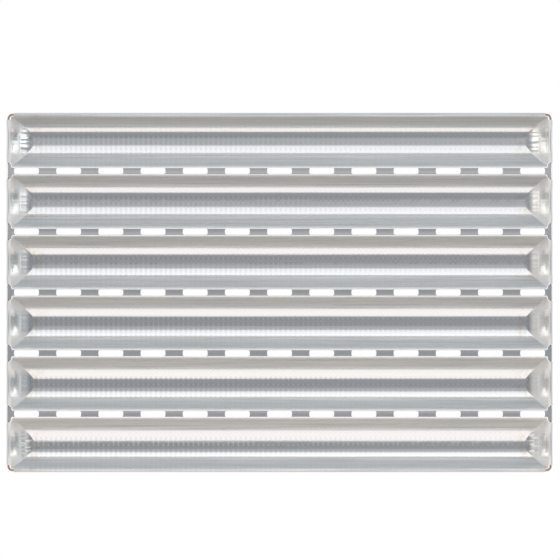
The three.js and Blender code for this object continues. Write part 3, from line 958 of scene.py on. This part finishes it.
# The same sheet where it was pressed to a slope: the perforated middle keeps its mirror shine over pleats and
# dents, and the plain corners beside the creases are satin, with little of the oven's tint. The middle is
# painted greyer than the corners, so that the corners stand out as a painted highlight.
def aluminised_end(finish):
    material, node = new_material("aluminised_steel_end")
    dent_size, dent_depth, tint_share = 4 * MM, 0.1 * MM, 0.2
    corner_reach, middle_reach = 17 * MM, 26 * MM
    place = node("TexCoord").outputs["Object"]
    parts = node("SeparateXYZ", {"Vector": place})
    from_ridge = node("Math", {
        0: parts.outputs["Y"], 1: TROUGH_PITCH / 2}, operation="PINGPONG")
    middle = node("MapRange", {
        "Value": from_ridge, "From Min": corner_reach, "From Max": middle_reach,
        "To Min": finish.corner_metal})
    rolled = {"Value": parts.outputs["Z"], "From Min": ROLL_FOOT[0], "From Max": ROLL_FOOT[1]}
    rubbed = node("MapRange", {
        **rolled, "To Min": finish.sheet_roughness, "To Max": finish.wall_roughness})
    satin = node("MapRange", {
        **rolled, "To Min": finish.end_metal, "To Max": finish.roll_metal})
    bare = node("Math", {0: satin, 1: middle}, operation="MULTIPLY")
    tinted = oven_tint_and_rim_shade(node, place, finish, tint_share)
    # Painted highlight: the corners keep the bright sheet colour, while the middle is painted greyer.
    colour = node("Mix", {
        "Factor": middle, "A": tinted, "B": opaque(finish.plate_middle_shade_colour)}, **COLOUR)
    dents = node("TexNoise", {"Vector": place, "Scale": 1 / dent_size, "Detail": 3.0})
    steel_surface(node, colour, rubbed, bare, dents, dent_depth)
    return material


# The same steel in strip form: drawn through rollers lengthwise, so fine lines run along it and the gloss is
# a little lower across them. Its top shines and its sides, rubbed by the loaves, are satin.
def aluminised_strip(finish):
    material, node = new_material("aluminised_steel_strip")
    line_pitch, line_depth = 0.9 * MM, 0.05 * MM
    side, top = 0.45, 0.8
    faint, strong = 0.3, 0.7
    smoother, rougher = 0.04, 0.06
    texture = node("TexCoord")
    upward = node("SeparateXYZ", {"Vector": texture.outputs["Normal"]}).outputs["Z"]
    satin = node("MapRange", {
        "Value": upward, "From Min": side, "From Max": top, "To Min": finish.strip_metal})
    lines = drawn_lines(node, texture.outputs["Object"], line_pitch)
    rough = node("MapRange", {
        "Value": lines, "From Min": faint, "From Max": strong,
        "To Min": finish.strip_roughness - smoother, "To Max": finish.strip_roughness + rougher})
    steel_surface(node, opaque(finish.sheet_colour), rough, satin, lines, line_depth)
    return material


# Bare drawn steel wire that the oven has browned: a thin oxide skin, darker and rougher in patches.
def browned_wire(finish):
    material, node = new_material("oven_browned_steel_wire")
    patch_size, patch_depth = 3 * MM, 0.1 * MM
    smoother, rougher = 0.15, 0.2
    place = node("TexCoord").outputs["Object"]
    patch = node("TexNoise", {"Vector": place, "Scale": 1 / patch_size, "Detail": 4.0})
    dark = [finish.wire_shade * c for c in finish.wire_colour]
    colour = node("Mix", {
        "Factor": patch, "A": opaque(finish.wire_colour), "B": opaque(dark)}, **COLOUR)
    rough = node("MapRange", {
        "Value": patch,
        "To Min": finish.wire_roughness - smoother, "To Max": finish.wire_roughness + rougher})
    steel_surface(node, colour, rough, finish.wire_metal, patch, patch_depth, strength=0.3)
    return material


# Matt white studio floor: it looks plain white to the eye and in the steel, and greys where the pan stands.
def studio_floor(stage):
    material, node = new_material("matt_white_studio_floor")
    shadow_reach, reflectance = 12 * MM, 0.8
    contact = node("AmbientOcclusion", {"Distance": shadow_reach}, samples=12)
    colour = node("Mix", {
        "Factor": contact.outputs["AO"],
        "A": opaque(stage.contact_colour), "B": opaque(stage.floor_colour)}, **COLOUR)
    seen = node("Emission", {"Color": colour, "Strength": 1.0})
    dimmed = [reflectance * c for c in stage.floor_colour]
    lit = node("BsdfDiffuse", {"Color": opaque(dimmed)})
    ray = node("LightPath")
    shows = ray.outputs["Is Camera Ray"]
    for kind in ("Is Glossy Ray", "Is Transmission Ray"):
        shows = node("Math", {0: shows, 1: ray.outputs[kind]}, operation="MAXIMUM")
    mixed = node("MixShader", {"Fac": shows, 1: lit, 2: seen})
    node("OutputMaterial", {"Surface": mixed})
    return material


class SoftBox(NamedTuple):
    """A rectangle of light between the middles of two edges, which run along an axis."""
    name: str
    colour: str
    near: tuple
    far: tuple
    axis: str
    width: float
    radiance: float


# The long boxes before and behind the pan give its floors and walls their bands. The dim glow over the pan
# shades the floors from row to row, and the boxes at the back corners light the end plates.
SOFT_BOXES = (
    SoftBox("front_soft_box", "front_light", (0, -0.22, 0.473), (0, -1.15, 0.25), "X", 1.1, 0.8),
    SoftBox("back_soft_box", "back_light", (0, 0.386, 0.865), (0, 1.25, 0.865), "X", 4.0, 0.7),
    SoftBox("back_glow", "back_light", (0, 0.08, 0.865), (0, 0.386, 0.865), "X", 4.0, 0.15),
    SoftBox("right_soft_box", "right_light", (1.3, 0.65, 0.05), (1.3, 0.65, 1.1), "Y", 1.1, 0.85),
    SoftBox("left_soft_box", "left_light", (-1.3, 0.65, 0.05), (-1.3, 0.65, 1.1), "Y", 1.1, 0.75))


class StudioBlend(NamedTuple):
    """A colour of the studio: one colour up to a first place along a way, another from a last place on."""
    name: str
    way: str
    first: float
    last: float
    before: str
    after: str


STUDIO_BLENDS = (
    StudioBlend("roof", "aside", 0.15, 0.75, "ceiling", "ceiling_sides"),
    StudioBlend("sides", "X", -0.3, 0.3, "wall_left", "wall_right"),
    StudioBlend("fronted", "Y", -0.35, -0.12, "corner_front", "sides"),
    StudioBlend("screened", "Y", -0.02, 0.12, "fronted", "corner_back"),
    StudioBlend("across", "Y", -0.1, 0.4, "wall_front", "wall_back"),
    StudioBlend("walls", "aside", 0.3, 0.5, "across", "screened"),
    StudioBlend("above", "Z", 0.5, 0.85, "walls", "roof"),
    StudioBlend("studio", "Z", 0.07, 0.2, "horizon", "above"))


class PAN_OT_stage(bpy.types.Operator):
    """Add the floor, the studio light and the camera"""
    bl_idname = "pan.stage"
    bl_label = "Stage"

    def execute(self, context):
        stage = context.scene.pan_stage
        context.scene.view_settings.view_transform = "Standard"
        self.add_floor(stage)
        self.set_world(context.scene, stage)
        for box in SOFT_BOXES:
            self.add_light(box, getattr(stage, box.colour))
        self.add_camera(context.scene, stage)
        return {"FINISHED"}

    @staticmethod
    def add_floor(stage):
        reach, drop = 4.0, 0.2 * MM
        mesh = bpy.data.meshes.new("studio_floor")
        corners = [(x * reach, y * reach, -drop) for x, y in ((-1, -1), (1, -1), (1, 1), (-1, 1))]
        mesh.from_pydata(corners, [], [(0, 1, 2, 3)])
        mesh.materials.append(studio_floor(stage))
        floor = bpy.data.objects.new("studio_floor", mesh)
        bpy.context.scene.collection.objects.link(floor)

    @staticmethod
    def set_world(scene, stage):
        """A studio with a white cove, grey walls, paler screens in its corners and a dim ceiling."""
        scene.world = bpy.data.worlds.new("studio")
        scene.world.use_nodes = True
        scene.world.node_tree.nodes.clear()
        node = partial(add_node, scene.world.node_tree)
        place = node("TexCoord").outputs["Generated"]
        parts = node("SeparateXYZ", {"Vector": place})
        ways = {axis: parts.outputs[axis] for axis in "XYZ"}
        ways["aside"] = node("Math", {0: ways["X"]}, operation="ABSOLUTE")
        made = {}
        for blend in STUDIO_BLENDS:
            share = node("MapRange", {
                "Value": ways[blend.way], "From Min": blend.first, "From Max": blend.last}, **SMOOTH)
            before, after = (made[name] if name in made else opaque(getattr(stage, name))
                             for name in (blend.before, blend.after))
            made[blend.name] = node("Mix", {"Factor": share, "A": before, "B": after}, **COLOUR)
        sky = node("Background", {"Color": made["studio"], "Strength": 1.0})
        node("OutputWorld", {"Surface": sky})

    @staticmethod
    def add_light(box, colour):
        """A soft box's area light, which faces the pan and isn't seen by the camera."""
        near, far = Vector(box.near), Vector(box.far)
        data = bpy.data.lights.new(box.name, "AREA")
        data.shape = "RECTANGLE"
        data.size = box.width
        data.size_y = (far - near).length
        data.energy = box.radiance * math.pi * data.size * data.size_y
        data.color = colour
        light = bpy.data.objects.new(box.name, data)
        light.location = (near + far) / 2
        up = (near - far).normalized()
        aim = Vector([box.axis == letter for letter in "XYZ"]).cross(up)
        if aim.dot(light.location) > 0:
            aim = -aim
        light.rotation_mode = "QUATERNION"
        light.rotation_quaternion = aim.to_track_quat("-Z", "Y")
        light.visible_camera = False
        bpy.context.scene.collection.objects.link(light)

    @staticmethod
    def add_camera(scene, stage):
        data = bpy.data.cameras.new("camera")
        data.lens = data.sensor_width * stage.camera_height / stage.view_width
        data.clip_end = 100
        camera = bpy.data.objects.new("camera", data)
        target = Vector((stage.view_aside, stage.view_shift, PAN_HIGH.z))
        back = Vector((0, -math.cos(stage.camera_elevation), math.sin(stage.camera_elevation)))
        camera.location = target + back * stage.camera_height
        camera.rotation_euler = (math.pi / 2 - stage.camera_elevation, 0, 0)
        scene.collection.objects.link(camera)
        scene.camera = camera


class PAN_PT_panel(bpy.types.Panel):
    """Lists the pan's pieces and their sizes"""
    bl_label = "Baguette Pan"
    bl_idname = "PAN_PT_panel"
    bl_space_type = "VIEW_3D"
    bl_region_type = "UI"
    bl_category = "Pan"

    def draw(self, context):
        for operator in OPERATORS:
            self.layout.operator(operator.bl_idname)
        for name, kind in GROUPS:
            box = self.layout.box()
            for setting in kind.__annotations__:
                box.prop(getattr(context.scene, name), setting)


GROUPS = (("pan_sizes", PanSizes), ("pan_finish", PanFinish), ("pan_stage", PanStage))
OPERATORS = (PAN_OT_troughs, PAN_OT_end_plates, PAN_OT_ridge_strips, PAN_OT_rim_wire, PAN_OT_stage)


def register():
    for name, group in GROUPS:
        bpy.utils.register_class(group)
        setattr(bpy.types.Scene, name, bpy.props.PointerProperty(type=group))
    for cls in (*OPERATORS, PAN_PT_panel):
        bpy.utils.register_class(cls)


def unregister():
    for cls in reversed((*OPERATORS, PAN_PT_panel)):
        bpy.utils.unregister_class(cls)
    for name, group in reversed(GROUPS):
        delattr(bpy.types.Scene, name)
        bpy.utils.unregister_class(group)


def main():
    register()
    bpy.ops.pan.troughs()
    bpy.ops.pan.end_plates()
    bpy.ops.pan.ridge_strips()
    bpy.ops.pan.rim_wire()
    bpy.ops.pan.stage()


if __name__ == "__main__":
    main()
